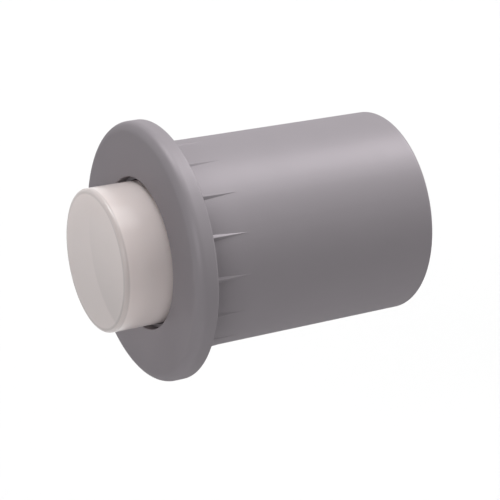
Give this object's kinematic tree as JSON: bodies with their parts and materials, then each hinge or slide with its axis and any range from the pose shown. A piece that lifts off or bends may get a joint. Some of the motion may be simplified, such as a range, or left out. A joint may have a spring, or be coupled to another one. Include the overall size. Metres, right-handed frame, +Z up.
{
  "type": "soft close damper",
  "caption": "Push-in soft close damper for furniture: a ribbed barrel with a flange, and a sprung button that sinks in against a hidden oil cylinder.",
  "frame": {"origin": "on the barrel's axis, in the plane of the flange's back face, which seats on the panel", "axes": "+Y along the barrel from the flange to the closed end, -Y out of the button's face, +Z up through the top crush rib"},
  "size_m": [0.0125, 0.0157, 0.0124],
  "materials": {
    "grey_plastic": "moulded, slightly satin",
    "button_plastic": "off-white, slightly translucent, smooth",
    "natural_plastic": "natural acetal",
    "piston_plastic": "black acetal",
    "ground_steel": "ground",
    "spring_steel": "drawn wire and thin sheet",
    "bronze": "sintered",
    "seal_rubber": "nitrile rubber",
    "foam": "closed-cell foam"
  },
  "bodies": {
    "damper_body": {"housing": "grey_plastic", "return_spring": "spring_steel", "cylinder": "natural_plastic", "cylinder_cover": "natural_plastic", "cover_o_ring": "seal_rubber", "guide_bush": "bronze", "rod_seal": "seal_rubber", "seal_washer": "ground_steel", "accumulator_foam": "foam", "baffle_washer": "ground_steel", "rear_plug": "grey_plastic"},
    "plunger": {"button": "button_plastic", "piston_rod": "ground_steel", "piston": "piston_plastic", "piston_ring": "piston_plastic", "valve_disc": "spring_steel", "piston_clip": "spring_steel"}
  },
  "joints": [
    {"name": "button_slide", "type": "slide", "parent": "damper_body", "child": "plunger", "axis": [0, 1, 0], "range_m": [0, 0.0021], "stiffness_N_per_m": 400, "deforming": ["return_spring"]}
  ]
}
